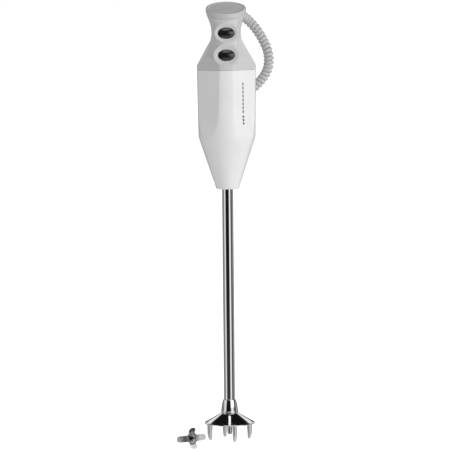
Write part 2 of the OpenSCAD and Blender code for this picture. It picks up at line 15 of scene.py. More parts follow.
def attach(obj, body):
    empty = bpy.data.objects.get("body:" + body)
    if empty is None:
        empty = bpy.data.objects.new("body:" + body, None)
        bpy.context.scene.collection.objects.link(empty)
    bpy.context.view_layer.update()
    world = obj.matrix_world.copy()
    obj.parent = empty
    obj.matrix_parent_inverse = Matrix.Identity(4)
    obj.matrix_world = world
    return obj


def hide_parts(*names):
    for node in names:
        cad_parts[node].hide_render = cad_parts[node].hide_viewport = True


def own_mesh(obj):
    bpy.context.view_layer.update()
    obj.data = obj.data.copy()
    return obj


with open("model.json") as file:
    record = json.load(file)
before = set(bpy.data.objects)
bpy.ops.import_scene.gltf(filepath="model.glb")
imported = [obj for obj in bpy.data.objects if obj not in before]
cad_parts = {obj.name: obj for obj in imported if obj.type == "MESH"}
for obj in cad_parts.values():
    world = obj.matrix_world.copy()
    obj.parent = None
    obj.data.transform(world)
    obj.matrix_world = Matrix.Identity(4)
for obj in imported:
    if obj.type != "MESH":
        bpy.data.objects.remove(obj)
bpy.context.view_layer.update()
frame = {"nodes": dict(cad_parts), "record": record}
MM = 0.001
TAU = 2 * math.pi


# ---------------------------------------------------------------- camera, light and floor

def make_camera():
    """A long lens, a little above the object and looking slightly down at it."""
    distance = 3.6
    height = 0.54
    aim = Vector((-0.0021, 0, 0.2382))
    framed_height = 0.5002
    roll = math.radians(0.54)
    data = bpy.data.cameras.new("camera")
    data.sensor_width = 36
    spot = Vector((aim.x, -distance, height))
    data.lens = data.sensor_width * (aim - spot).length / framed_height
    data.clip_start = 0.05
    data.clip_end = 100
    camera = bpy.data.objects.new("camera", data)
    bpy.context.scene.collection.objects.link(camera)
    camera.location = spot
    looking = (aim - spot).to_track_quat("-Z", "Y")
    camera.rotation_mode = "QUATERNION"
    camera.rotation_quaternion = looking @ Matrix.Rotation(-roll, 3, "Z").to_quaternion()
    bpy.context.scene.camera = camera


def area_light(name, azimuth, elevation, distance, width, height, watts):
    """A soft panel that faces the object. Azimuth 0 is in front of the buttons, positive to the right."""
    centre = Vector((0, 0, 0.27))
    a, e = math.radians(azimuth), math.radians(elevation)
    out = Vector((math.sin(a) * math.cos(e), -math.cos(a) * math.cos(e), math.sin(e)))
    data = bpy.data.lights.new(name, "AREA")
    data.shape = "RECTANGLE"
    data.size = width
    data.size_y = height
    data.energy = watts
    light = bpy.data.objects.new(name, data)
    bpy.context.scene.collection.objects.link(light)
    light.location = centre + out * distance
    light.rotation_euler = (-out).to_track_quat("-Z", "Y").to_euler()
    light.visible_camera = False
    light.visible_glossy = False


class Shader:
    """Short ways to add and join shader nodes in one tree."""

    def __init__(self, tree):
        self.tree = tree

    def add(self, kind, **settings):
        node = self.tree.nodes.new(kind)
        for key, value in settings.items():
            setattr(node, key, value)
        return node

    def join(self, value, socket):
        if isinstance(value, bpy.types.NodeSocket):
            self.tree.links.new(value, socket)
        else:
            socket.default_value = value

    def math(self, operation, a, b=0.0, c=0.0, clamp=False):
        node = self.add("ShaderNodeMath", operation=operation, use_clamp=clamp)
        for value, socket in zip((a, b, c), node.inputs):
            self.join(value, socket)
        return node.outputs[0]

    def product(self, first, *others):
        for value in others:
            first = self.math("MULTIPLY", first, value)
        return first

    def highest(self, first, *others):
        for value in others:
            first = self.math("MAXIMUM", first, value)
        return first

    def step(self, value, low, high, a=0.0, b=1.0):
        """A smooth change from a to b while value goes from low to high."""
        node = self.add("ShaderNodeMapRange", interpolation_type="SMOOTHSTEP")
        self.join(value, node.inputs[0])
        for socket, number in zip(node.inputs[1:5], (low, high, a, b)):
            self.join(number, socket)
        return node.outputs[0]

    def band(self, value, low, high, soft):
        """1 between low and high with soft edges, 0 elsewhere."""
        rise = self.step(value, low - soft, low + soft)
        fall = self.step(value, high - soft, high + soft, 1.0, 0.0)
        return self.product(rise, fall)

    def coordinates(self, stretch=(1, 1, 1)):
        place = self.add("ShaderNodeTexCoord").outputs["Object"]
        mapping = self.add("ShaderNodeMapping")
        self.join(place, mapping.inputs["Vector"])
        mapping.inputs["Scale"].default_value = stretch
        return mapping.outputs[0]

    def noise(self, where, scale, detail=2.0, roughness=0.5):
        node = self.add("ShaderNodeTexNoise")
        self.join(where, node.inputs["Vector"])
        node.inputs["Scale"].default_value = scale
        node.inputs["Detail"].default_value = detail
        node.inputs["Roughness"].default_value = roughness
        return node.outputs[0]

    def ramp(self, value, stops):
        node = self.add("ShaderNodeValToRGB")
        self.join(value, node.inputs[0])
        elements = node.color_ramp.elements
        while len(elements) < len(stops):
            elements.new(0.5)
        for element, (place, colour) in zip(elements, stops):
            element.position = place
            element.color = (*colour, 1)
        return node.outputs[0]


def make_world():
    """A white room: soft even light, and in its reflections dark panels with a few bright ones."""
    world = bpy.data.worlds.new("studio")
    bpy.context.scene.world = world
    world.use_nodes = True
    world.node_tree.nodes.clear()
    s = Shader(world.node_tree)
    out = s.add("ShaderNodeOutputWorld")
    direction = s.add("ShaderNodeSeparateXYZ")
    s.join(s.add("ShaderNodeTexCoord").outputs["Generated"], direction.inputs[0])
    x, y, z = direction.outputs
    azimuth = s.math("ARCTAN2", x, s.math("MULTIPLY", y, -1.0))
    degrees = s.math("MULTIPLY", azimuth, 180 / math.pi)
    behind = s.math("ABSOLUTE", degrees)

    # upright panels: each has its edges in degrees (0 in front, positive to the right) and a brightness
    raised = s.step(z, 0.06, 0.18)
    low_key = s.product(s.band(degrees, 25, 58, 6), s.step(z, 0.15, 0.2, 1.0, 0.0))
    low_fill = s.product(s.band(degrees, -86, -50, 7), 0.85)
    high_key = s.product(s.band(degrees, 20, 72, 8), raised, 1.8)
    high_fill = s.product(s.band(degrees, -104, -50, 8), raised, 0.8)
    far_back = s.product(s.step(behind, 171, 176), s.step(z, 0.25, 0.4, 1.0, 0.0))
    back_wall = s.product(s.highest(s.band(behind, 136, 166, 5), far_back), raised)
    right_haze = s.product(s.band(degrees, 60, 100, 8), 0.10)
    right_far = s.product(s.band(degrees, 104, 128, 6), 0.5)
    left_far = s.product(s.band(degrees, -134, -96, 6), 0.3)
    sides = s.highest(low_key, low_fill, high_key, high_fill, back_wall, right_haze, right_far, left_far)
    below_ceiling = s.step(z, 0.5, 0.62, 1.0, 0.0)

    # a bright strip overhead in front, the pale table below, and a little light everywhere
    overhead = s.product(s.step(z, 0.78, 0.86), s.step(y, -0.2, -0.1, 1.0, 0.0))
    strip = s.product(s.band(x, -0.3, 0.3, 0.02), overhead, 1.8)
    table_edge = s.step(z, -0.17, -0.09, 0.07, 0.0)
    table = s.math("ADD", table_edge, s.step(z, -0.5, -0.3, 0.7, 0.0))
    least = 0.006
    seen = s.math("ADD", s.highest(s.product(sides, below_ceiling), strip, table), least)

    reflected = s.add("ShaderNodeBackground")
    s.join(seen, reflected.inputs["Strength"])
    even = s.add("ShaderNodeBackground")
    level_light, ceiling_light = 0.68, 0.38
    s.join(s.step(z, 0.0, 1.0, level_light, ceiling_light), even.inputs["Strength"])
    white = s.add("ShaderNodeBackground")
    white.inputs["Strength"].default_value = 1.0
    for node in (reflected, even, white):
        node.inputs["Color"].default_value = (1, 1, 1, 1)
    ray = s.add("ShaderNodeLightPath")
    first = s.add("ShaderNodeMixShader")
    s.join(ray.outputs["Is Glossy Ray"], first.inputs[0])
    s.join(even.outputs[0], first.inputs[1])
    s.join(reflected.outputs[0], first.inputs[2])
    second = s.add("ShaderNodeMixShader")
    s.join(ray.outputs["Is Camera Ray"], second.inputs[0])
    s.join(first.outputs[0], second.inputs[1])
    s.join(white.outputs[0], second.inputs[2])
    s.join(second.outputs[0], out.inputs[0])


def make_floor():
    """A wide pale floor at the height of the foot tips. Its own glow keeps it near the room's white."""
    mesh = bpy.data.meshes.new("floor")
    bm = bmesh.new()
    bmesh.ops.create_circle(bm, cap_ends=True, radius=30, segments=64)
    bm.to_mesh(mesh)
    bm.free()
    floor = bpy.data.objects.new("floor", mesh)
    bpy.context.scene.collection.objects.link(floor)
    floor.visible_glossy = False
    floor.visible_diffuse = False
    material = bpy.data.materials.new("floor_paper")
    material.use_nodes = True
    s = Shader(material.node_tree)
    base = material.node_tree.nodes["Principled BSDF"]
    grain = s.noise(s.coordinates(), 90, 3)
    s.join(s.ramp(grain, [(0.3, (0.88, 0.88, 0.88)), (0.7, (0.90, 0.90, 0.90))]), base.inputs["Base Color"])
    base.inputs["Roughness"].default_value = 0.9
    base.inputs["Specular IOR Level"].default_value = 0.0
    base.inputs["Emission Color"].default_value = (1, 1, 1, 1)
    base.inputs["Emission Strength"].default_value = 0.68
    mesh.materials.append(material)


# ---------------------------------------------------------------- materials

def new_material(name):
    material = bpy.data.materials.new(name)
    material.use_nodes = True
    return material, Shader(material.node_tree), material.node_tree.nodes["Principled BSDF"]


def add_bump(s, base, height, strength, depth):
    bump = s.add("ShaderNodeBump")
    bump.inputs["Strength"].default_value = strength
    bump.inputs["Distance"].default_value = depth
    s.join(height, bump.inputs["Height"])
    s.join(bump.outputs[0], base.inputs["Normal"])


def shade(colour, factor):
    return tuple(min(1.0, c * factor) for c in colour)


def plastic(name, colour, roughness, grain=2600.0, depth=0.00002, strength=0.15, ior_level=0.5, mottle=0.025):
    """Moulded plastic: a faint mottle in its colour, uneven gloss from handling, and a fine mould grain."""
    material, s, base = new_material(name)
    where = s.coordinates()
    cloud = s.noise(where, 35, 4)
    s.join(s.ramp(cloud, [(0.3, shade(colour, 1 - mottle)), (0.7, shade(colour, 1 + mottle))]),
           base.inputs["Base Color"])
    wear = s.noise(where, 120, 5, 0.6)
    s.join(s.step(wear, 0.35, 0.7, roughness * 0.85, roughness * 1.2), base.inputs["Roughness"])
    base.inputs["Specular IOR Level"].default_value = ior_level
    add_bump(s, base, s.noise(where, grain, 2), strength, depth)
    return material


def rubber(name, colour, roughness=0.6):
    """Soft rubber or vinyl: a matt skin with a fine dusty bloom."""
    material, s, base = new_material(name)
    where = s.coordinates()
    dust = s.noise(where, 900, 4, 0.65)
    s.join(s.ramp(dust, [(0.35, shade(colour, 0.9)), (0.75, shade(colour, 1.12))]), base.inputs["Base Color"])
    s.join(s.step(dust, 0.3, 0.7, roughness * 0.9, min(1.0, roughness * 1.1)), base.inputs["Roughness"])
    add_bump(s, base, s.noise(where, 2200, 3), 0.25, 0.00003)
    return material


def metal(name, colour, roughness, streak=(1, 1, 1), scale=400.0, strength=0.06, spread=0.35, tint=0.05,
          satin_below=None):
    """Metal with drawn or turned streaks: a large number in streak is the direction across them.

    Below the height satin_below it is blasted instead of polished.
    """
    material, s, base = new_material(name)
    base.inputs["Metallic"].default_value = 1.0
    lines = s.noise(s.coordinates(streak), scale, 4, 0.6)
    handled = s.noise(s.coordinates(), 60, 3)
    s.join(s.ramp(lines, [(0.3, shade(colour, 1 - tint)), (0.7, shade(colour, 1 + tint))]),
           base.inputs["Base Color"])
    mixed = s.math("ADD", s.math("MULTIPLY", lines, 0.6), s.math("MULTIPLY", handled, 0.4))
    gloss = s.step(mixed, 0.3, 0.7, roughness * (1 - spread), roughness * (1 + spread))
    if satin_below:
        height = s.add("ShaderNodeSeparateXYZ")
        s.join(s.coordinates(), height.inputs[0])
        gloss = s.math("ADD", gloss, s.step(height.outputs[2], satin_below - 0.001, satin_below, 0.32, 0.0))
    s.join(gloss, base.inputs["Roughness"])
    add_bump(s, base, lines, strength, 0.00001)
    return material


def layered(name, colour, pitch):
    """A stack of thin steel sheets: dark lines at every joint between two sheets."""
    material, s, base = new_material(name)
    base.inputs["Metallic"].default_value = 0.8
    wave = s.add("ShaderNodeTexWave", wave_type="BANDS", bands_direction="Z")
    s.join(s.coordinates(), wave.inputs["Vector"])
    wave.inputs["Scale"].default_value = 1 / pitch / 3
    wave.inputs["Distortion"].default_value = 0.3
    s.join(s.ramp(wave.outputs["Fac"], [(0.1, shade(colour, 0.45)), (0.5, colour)]),
           base.inputs["Base Color"])
    base.inputs["Roughness"].default_value = 0.45
    add_bump(s, base, wave.outputs["Fac"], 0.4, 0.00005)
    return material


def wound(name, colour, pitch, direction):
    """Enamelled wire laid in turns: rounded glossy ridges, with painted shade darkening the grooves between
    turns.
    """
    material, s, base = new_material(name)
    base.inputs["Metallic"].default_value = 0.7
    wave = s.add("ShaderNodeTexWave", wave_type="BANDS", bands_direction=direction)
    s.join(s.coordinates(), wave.inputs["Vector"])
    wave.inputs["Scale"].default_value = 1 / pitch / 3
    wave.inputs["Distortion"].default_value = 0.6
    # the ramp's dark end is painted shade in the grooves between the turns
    s.join(s.ramp(wave.outputs["Fac"], [(0.05, shade(colour, 0.25)), (0.5, colour)]),
           base.inputs["Base Color"])
    base.inputs["Roughness"].default_value = 0.3
    add_bump(s, base, wave.outputs["Fac"], 0.6, 0.0002)
    return material


def circuit(name):
    """Green lacquered board with paler copper tracks under the lacquer."""
    material, s, base = new_material(name)
    cells = s.add("ShaderNodeTexVoronoi", feature="DISTANCE_TO_EDGE")
    s.join(s.coordinates((1, 1, 0.6)), cells.inputs["Vector"])
    cells.inputs["Scale"].default_value = 320
    s.join(s.ramp(cells.outputs[0], [(0.06, (0.16, 0.46, 0.24)), (0.10, (0.03, 0.20, 0.09))]),
           base.inputs["Base Color"])
    base.inputs["Roughness"].default_value = 0.25
    add_bump(s, base, cells.outputs[0], 0.2, 0.00005)
    return material


def make_materials():
    """One material for each slot of the record, and two more: satin for the blade and grey for two seals."""
    steel = (0.80, 0.80, 0.81)
    return {
        "shell_white": plastic("shell_white", (0.86, 0.86, 0.86), 0.22, 3000, 0.00001, 0.08),
        "grip_grey": plastic("grip_grey", (0.615, 0.617, 0.622), 0.34, 2400, 0.00002, 0.2),
        "cap_grey": plastic("cap_grey", (0.56, 0.562, 0.567), 0.38, 2400, 0.00002, 0.25, 0.5, 0.05),
        "dark_seal": rubber("dark_seal", (0.36, 0.36, 0.365)),
        "button_black": plastic("button_black", (0.012, 0.012, 0.014), 0.23, 2600, 0.00001, 0.08, 0.9, 0.2),
        "polished_steel": metal("polished_steel", steel, 0.09, (1, 1, 0.04), 900, 0.03),
        "guard_steel": metal("guard_steel", (0.76, 0.76, 0.77), 0.10, (1, 1, 6), 500, 0.03, 0.3, 0.05,
                             satin_below=0.0182),
        "blade_satin": metal("blade_satin", (0.88, 0.88, 0.885), 0.42, (1, 1, 3), 420, 0.08, 0.2),
        "screw_steel": metal("screw_steel", (0.62, 0.62, 0.63), 0.26, (1, 1, 12), 300, 0.08),
        "bronze": metal("bronze", (0.66, 0.45, 0.20), 0.38, (1, 1, 8), 500, 0.15),
        "white_nylon": plastic("white_nylon", (0.80, 0.80, 0.76), 0.5, 1500, 0.00003, 0.3),
        "lamination": layered("lamination", (0.42, 0.42, 0.44), 0.0005),
        "copper": wound("copper", (0.62, 0.24, 0.09), 0.0006, "DIAGONAL"),
        "cast_alloy": metal("cast_alloy", (0.62, 0.63, 0.65), 0.5, (1, 1, 1), 700, 0.35),
        "carbon": rubber("carbon", (0.04, 0.04, 0.042), 0.5),
        "board_green": circuit("board_green"),
        "switch_grey": plastic("switch_grey", (0.05, 0.055, 0.06), 0.5, 1800, 0.00003, 0.3),
        "plunger_red": plastic("plunger_red", (0.50, 0.05, 0.04), 0.35),
        "film_yellow": plastic("film_yellow", (0.72, 0.55, 0.10), 0.3),
        "lead_black": rubber("lead_black", (0.03, 0.03, 0.032), 0.45),
        "cord_grey": plastic("cord_grey", (0.55, 0.55, 0.555), 0.28, 1200, 0.00002, 0.2, 0.8),
        "seal_grey": rubber("seal_grey", (0.56, 0.56, 0.565)),
        "plug_grey": plastic("plug_grey", (0.66, 0.66, 0.67), 0.42, 1800, 0.00003, 0.3),
        "plug_metal": metal("plug_metal", (0.76, 0.74, 0.68), 0.2, (1, 1, 0.1), 600, 0.05),
    }


# ---------------------------------------------------------------- the cord, its boot, tie and plug

COIL = [
    (14, 43, 470), (16.5, 51, 470), (20, 57, 468), (25, 61, 464), (31, 63, 457.5), (36.5, 64, 450),
    (41.5, 64, 441.5), (45.5, 63, 432.5), (47.5, 62, 423), (47.2, 60, 413.5), (44, 57, 404.5),
    (38.5, 54, 397), (31.5, 51, 390), (24, 48, 383.5), (16, 45.5, 376), (8.5, 43.5, 366.5),
    (3, 42.3, 355), (0.5, 42, 341), (0, 42, 325), (0, 42, 305), (0, 42, 285), (0, 42, 265),
    (0, 42, 247), (0, 42.8, 231), (0, 47, 219), (0, 54, 213.5), (0, 61, 213.5), (0, 68, 219),
    (0, 71.5, 230), (0, 71, 245), (0, 67.5, 259), (0, 62.5, 271),
]
TAIL = [(0, 62.5, 271), (0, 59.6, 278), (0, 57.2, 285), (0, 56.2, 291), (0, 56, 297), (0, 56, 302)]
CORD_R = 2.3
COIL_R = 3.5
PITCH = 4.7


def unit(v):
    return v / np.linalg.norm(v)


def curve_through(points, step):
    """A smooth curve through the points (Catmull-Rom), with its points at even steps."""
    p = np.array(points, float)
    p = np.vstack([2 * p[0] - p[1], p, 2 * p[-1] - p[-2]])
    dense = []
    for a, b, c, d in zip(p, p[1:], p[2:], p[3:]):
        for t in np.arange(0, 1, 0.02):
            dense.append(0.5 * (2 * b + (c - a) * t + (2 * a - 5 * b + 4 * c - d) * t * t
                                + (3 * b - a - 3 * c + d) * t ** 3))
    dense = np.vstack([dense, p[-2]])
    along = np.concatenate([[0], np.cumsum(np.linalg.norm(np.diff(dense, axis=0), axis=1))])
    where = np.linspace(0, along[-1], int(round(along[-1] / step)) + 1)
    return np.column_stack([np.interp(where, along, dense[:, k]) for k in range(3)]), where


def ease(t):
    t = np.clip(t, 0, 1)
    return t * t * (3 - 2 * t)


def curly_route():
    """The cord's own centreline: a helix of touching turns along the coil's route, then the plain tail."""
    centre, along = curve_through(COIL, PITCH / 18)
    ramp = ease(along / 16) * ease((along[-1] - along) / 16)
    pitch = PITCH + 9 * (1 - ramp)
    phase = np.concatenate([[0], np.cumsum(TAU / pitch[1:] * np.diff(along))])
    side = np.array([0.0, 0.0, 1.0])
    route = []
    for i, point in enumerate(centre):
        heading = unit(centre[min(i + 1, len(centre) - 1)] - centre[max(i - 1, 0)])
        side = unit(side - heading * (side @ heading))
        other = np.cross(heading, side)
        turn = COIL_R * ramp[i] * (math.cos(phase[i]) * side + math.sin(phase[i]) * other)
        route.append(point + turn)
    tail, _ = curve_through(TAIL, 1.0)
    return np.vstack([route, tail[1:]])


def make_cord(material):
    route = curly_route()
    length = np.linalg.norm(np.diff(route, axis=0), axis=1).sum() * MM
    data = bpy.data.curves.new("cord_curl", "CURVE")
    data.dimensions = "3D"
    data.bevel_depth = CORD_R * MM
    data.bevel_resolution = 6
    data.use_fill_caps = True
    line = data.splines.new("POLY")
    line.points.add(len(route) - 1)
    for point, place in zip(line.points, route * MM):
        point.co = (*place, 1)
    line.use_smooth = True
    data.materials.append(material)
    cord = bpy.data.objects.new("cord_curl", data)
    bpy.context.scene.collection.objects.link(cord)
    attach(cord, "housing")
    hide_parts("cord_coil", "cord_tail")
    return cord, round(float(length), 2)


# ---------------------------------------------------------------- mesh helpers

def piece(name, points, faces, material, body, slot, replaced=(), sharp=35):
    """A closed mesh from points in millimetres. Edges sharper than the angle stay crisp."""
    mesh = bpy.data.meshes.new(name)
    points = np.asarray(points, float)
    mesh.from_pydata((points * MM).tolist(), [], [tuple(int(i) for i in f) for f in faces])
    bm = bmesh.new()
    bm.from_mesh(mesh)
    bmesh.ops.remove_doubles(bm, verts=bm.verts, dist=1e-7)
    bmesh.ops.recalc_face_normals(bm, faces=bm.faces)
    bm.to_mesh(mesh)
    bm.free()
    mesh.shade_smooth()
    mesh.set_sharp_from_angle(angle=math.radians(sharp))
    mesh.materials.append(material)
    made = bpy.data.objects.new(name, mesh)
    bpy.context.scene.collection.objects.link(made)
    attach(made, body)
    if replaced:
        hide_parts(*replaced)
    return made


def ring_faces(rings, around, closed):
    """Quads between neighbouring rings of points. closed also joins the last ring to the first."""
    faces = []
    for i in range(rings if closed else rings - 1):
        a, b = i * around, (i + 1) % rings * around
        for k in range(around):
            n = (k + 1) % around
            faces.append((a + k, b + k, b + n, a + n))
    return faces


def loop_solid(grid):
    """Points and faces of a ring-shaped solid: grid[i] is the closed outline at the i-th turn."""
    grid = np.asarray(grid, float)
    turns, around = grid.shape[:2]
    return grid.reshape(-1, 3), ring_faces(turns, around, True)


def capped_solid(grid):
    """Points and faces of a stack of rings with a cap at each end."""
    grid = np.asarray(grid, float)
    rings, around = grid.shape[:2]
    points = np.vstack([grid.reshape(-1, 3), grid[0].mean(0), grid[-1].mean(0)])
    faces = ring_faces(rings, around, False)
    low, high, last = rings * around, rings * around + 1, (rings - 1) * around
    for k in range(around):
        n = (k + 1) % around
        faces.append((low, k, n))
        faces.append((high, last + n, last + k))
    return points, faces


def joined(*solids):
    """Several points-and-faces pairs as one."""
    points, faces, start = [], [], 0
    for p, f in solids:
        points.append(p)
        faces += [tuple(i + start for i in face) for face in f]
        start += len(p)
    return np.vstack(points), faces


def rounded(profile, radius, steps=5):
    """A closed outline whose corners become curves of about this radius."""
    p = np.array(profile, float)
    out = []
    for i in range(len(p)):
        before, here, after = p[i - 1], p[i], p[(i + 1) % len(p)]
        reach_a = min(radius, np.linalg.norm(here - before) * 0.45)
        reach_b = min(radius, np.linalg.norm(after - here) * 0.45)
        a = here + unit(before - here) * reach_a
        b = here + unit(after - here) * reach_b
        for t in np.linspace(0, 1, steps):
            out.append((1 - t) ** 2 * a + 2 * t * (1 - t) * here + t * t * b)
    return out


def turned(profile, segments=160, matrix=None):
    """Points and faces of a closed (radius, height) outline turned about the axis of a 4x4 matrix."""
    profile = np.array(profile, float)
    a = np.linspace(0, TAU, segments, endpoint=False)[:, None]
    grid = np.stack([profile[:, 0] * np.cos(a), profile[:, 0] * np.sin(a),
                     np.broadcast_to(profile[:, 1], (segments, len(profile)))], axis=-1)
    points, faces = loop_solid(grid)
    if matrix is not None:
        matrix = np.array(matrix)
        points = points @ matrix[:3, :3].T + matrix[:3, 3]
    return points, faces


def combine(made, points, faces, operation, sharp=35):
    """Applies a boolean of the piece with a closed shape, whose points are in millimetres."""
    mesh = bpy.data.meshes.new("tool")
    mesh.from_pydata((np.asarray(points) * MM).tolist(), [], [tuple(int(i) for i in f) for f in faces])
    bm = bmesh.new()
    bm.from_mesh(mesh)
    bmesh.ops.recalc_face_normals(bm, faces=bm.faces)
    bm.to_mesh(mesh)
    bm.free()
    other = bpy.data.objects.new("tool", mesh)
    bpy.context.scene.collection.objects.link(other)
    step = made.modifiers.new("boolean", "BOOLEAN")
    step.object = other
    step.operation = operation
    step.solver = "EXACT"
    bpy.context.view_layer.update()
    result = bpy.data.meshes.new_from_object(made.evaluated_get(bpy.context.evaluated_depsgraph_get()))
    made.modifiers.clear()
    made.data = result
    bpy.data.objects.remove(other)
    result.shade_smooth()
    result.set_sharp_from_angle(angle=math.radians(sharp))


def cut_away(made, points, faces):
    combine(made, points, faces, "DIFFERENCE")


def cad_copy(node, name, body, material):
    """A new piece that starts as a copy of a CAD node's mesh and stands for it."""
    mesh = frame["nodes"][node].data.copy()
    mesh.name = name
    mesh.materials.clear()
    mesh.materials.append(material)
    made = bpy.data.objects.new(name, mesh)
    bpy.context.scene.collection.objects.link(made)
    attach(made, body)
    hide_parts(node)
    return made


def relief_matrix():
    """The strain relief's frame: its origin is at the outer end, z runs outwards along the cord."""
    end = np.array(COIL[0], float)
    z = unit(np.array([COIL[1][0] - end[0], COIL[1][1] - end[1], 0.0]))
    x = np.array([0.0, 0.0, 1.0])
    matrix = np.eye(4)
    matrix[:3, :3] = np.column_stack([x, np.cross(z, x), z])
    matrix[:3, 3] = end
    return matrix


def make_boot(material):
    """Strain relief: a flange inside the grip, a plain neck through the wall, then a ribbed taper."""
    first_rib, rib_pitch, groove = -18.6, 2.6, 0.75
    ribs = []
    for i in range(7):
        z = first_rib + i * rib_pitch
        r = 5.3 - (z + 19) * 1.7 / 19
        ribs += [(r, z), (r, z + 1.5), (r - groove, z + 1.8), (r - groove, z + 2.3)]
    profile = [(2.4, -32.6), (7, -32.6), (7, -31), (6.1, -31), (6.1, -20.3), (5.6, -19.4)] + ribs
    profile += [(3.5, -0.2), (2.4, 0)]
    return piece("cord_boot", *turned(rounded(profile, 0.35, 4), 72, relief_matrix()), material, "housing",
                 "cord_grey", ("strain_relief",))


def hull_path(grow, steps=26):
    """The line round the coil and the cord's end side by side, in the plane z = 0, from -Y round by +X."""
    big, small = 5.95 + grow, 2.9 + grow
    y_big, y_small = 42.0, 56.6
    lean = math.asin((big - small) / (y_small - y_big))
    points = []
    for a in np.linspace(-math.pi / 2, lean, steps):
        points.append((big * math.cos(a), y_big + big * math.sin(a)))
    for a in np.linspace(lean, math.pi - lean, steps):
        points.append((small * math.cos(a), y_small + small * math.sin(a)))
    for a in np.linspace(math.pi - lean, 3 * math.pi / 2, steps)[:-1]:
        points.append((big * math.cos(a), y_big + big * math.sin(a)))
    return points


def make_tie(material):
    """A soft band round the coil and the cord's end, with rounded edges and three shallow ribs."""
    low, high, thick = 286.0, 295.0, 1.2
    section = [(0, low), (thick, low)]
    for z in (288.2, 290.5, 292.8):
        section += [(thick, z - 0.6), (thick - 0.3, z - 0.3), (thick - 0.3, z + 0.3), (thick, z + 0.6)]
    section += [(thick, high), (0, high)]
    section = rounded(section, 0.25, 3)
    inner = hull_path(0.0)
    outer = hull_path(thick)
    grid = [[((1 - g / thick) * a[0] + g / thick * b[0], (1 - g / thick) * a[1] + g / thick * b[1], z)
             for g, z in section] for a, b in zip(inner, outer)]
    return piece("tie_band", *loop_solid(grid), material, "housing", "dark_seal", ("cord_tie",))


def section_ring(half_x, half_y, power, centre, z, around=72):
    """A ring of points on a rounded rectangle (superellipse) at one height."""
    a = np.linspace(0, TAU, around, endpoint=False)
    c, s = np.cos(a), np.sin(a)
    x = centre[0] + half_x * np.sign(c) * np.abs(c) ** (2 / power)
    y = centre[1] + half_y * np.sign(s) * np.abs(s) ** (2 / power)
    return np.column_stack([x, y, np.full(around, z)])


def make_plug(plastic_material, metal_material, sleeve_material):
    """A flat two-pin plug: a waisted body with finger ribs, and two round pins in short sleeves."""
    centre, low, high = (0.0, 56.0), 302.0, 338.0
    rings = []
    for z in np.concatenate([[0, 0.3, 0.8], np.arange(1.5, 34.6, 0.5), [35.1, 35.5, 35.8, 36]]):
        wide = np.interp(z, [0, 4, 9, 15, 22, 36], [4.4, 7.0, 12.3, 15.9, 17.65, 17.4])
        thick = np.interp(z, [0, 4, 10, 36], [3.9, 5.2, 6.85, 6.7])
        ribs = 0.45 * max(0.0, math.sin(TAU * (z - 11) / 3.2)) if 11 <= z <= 23.8 else 0.0
        edge = 1.2 * (1 - math.sqrt(max(0.0, 1 - max(0.0, (z - 34.8) / 1.2) ** 2)))
        foot = 1.0 * max(0.0, 1 - z / 0.8) ** 2
        cut = ribs + edge + foot
        rings.append(section_ring(wide - cut, thick - cut, 2.6 + 1.6 * min(1, z / 20), centre, low + z))
    body = piece("plug_shell", *capped_solid(rings), plastic_material, "housing", "plug_grey", ("plug_body",))
    pins, sleeves = [], []
    for x in (-9.5, 9.5):
        place = Matrix.Translation((x, centre[1], high))
        tip = [(1.95 * math.cos(a), 17.2 + 1.8 * math.sin(a)) for a in np.linspace(0, 1.5, 7)]
        rings = [section_ring(r, r, 2, (x, centre[1]), high + z, 36) for r, z in [(1.9, -3), (1.95, 0)] + tip]
        pins.append(capped_solid(rings))
        sleeve = [(1.97, -1), (2.35, -1), (2.35, 0.8), (2.02, 1.2), (2.0, 10), (1.97, 10)]
        sleeves.append(turned(sleeve, 36, place))
    metal_pins = piece("plug_prongs", *joined(*pins), metal_material, "housing", "plug_metal", ("plug_pins",))
    collars = piece("plug_sleeves", *joined(*sleeves), sleeve_material, "housing", "switch_grey")
    return [body, metal_pins, collars]


# ---------------------------------------------------------------- the two body shells and the cap

CASING_Z = 411.5
JOINT_Z = 411.0
NOSE_Z = 279.5
FLAT_R = 27.8
FLAT_Z = 365.0
RUNOUT_R = 110.0
WALL = 2.5
LEAN = math.radians(10)
FACE_Y = 25.9
FACE_Z = 452.0
BUTTON_GAP = 24.4
HALF_COLUMN = 12.8
HEAD_R = 22.6
CAP_TILT = math.radians(16.5)
CAP_SLOPE = math.tan(CAP_TILT)
CAP_Z = 479.3
UPRIGHT = 1 / math.cos(CAP_TILT)

# how far each button's pad is below the upper one, and its half width and half height
PADS = ((0.0, 13.2, 10.9), (BUTTON_GAP, 14.2, 12.4))

# outlines as (radius, height)
BODY = [(12.3, 279.5), (31.4, 337), (32.5, 411), (32.5, 430)]
GRIP = [(32.5, 405), (32.5, 416.5), (17.2, 444.5), (16.3, 449), (16.1, 452.5), (16.5, 457), (17.4, 461),
        (18.6, 464.6), (20.2, 468.5), (21.6, 472.5), (22.4, 476.5), (HEAD_R, 480), (HEAD_R, 500)]
COLUMN_LIMIT = [(32.5, 405), (32.5, 440), (27.8, 454), (23.6, 462), (HEAD_R, 466), (HEAD_R, 500)]


def profile_of(points, blur):
    """A function from height to radius, with the outline's corners blurred over some millimetres."""
    step = 0.1
    z = np.arange(points[0][1] - 6, points[-1][1] + 6, step)
    heights = [p[1] for p in points]
    radii = [p[0] for p in points]
    lean = (radii[1] - radii[0]) / (heights[1] - heights[0])
    r = np.interp(z, heights, radii) + np.minimum(0, z - heights[0]) * lean
    reach = np.arange(-3 * blur, 3 * blur + step, step)
    kernel = np.exp(-0.5 * (reach / blur) ** 2)
    padded = np.pad(r, len(kernel) // 2, mode="edge")
    smooth = np.convolve(padded, kernel / kernel.sum(), mode="valid")[:len(z)]
    smooth[z < heights[0] + 1] = r[z < heights[0] + 1]
    return lambda at: np.interp(at, z, smooth)


body_profile = profile_of(BODY, 1.6)
grip_profile = profile_of(GRIP, 0.7)
limit_profile = profile_of(COLUMN_LIMIT, 1.5)


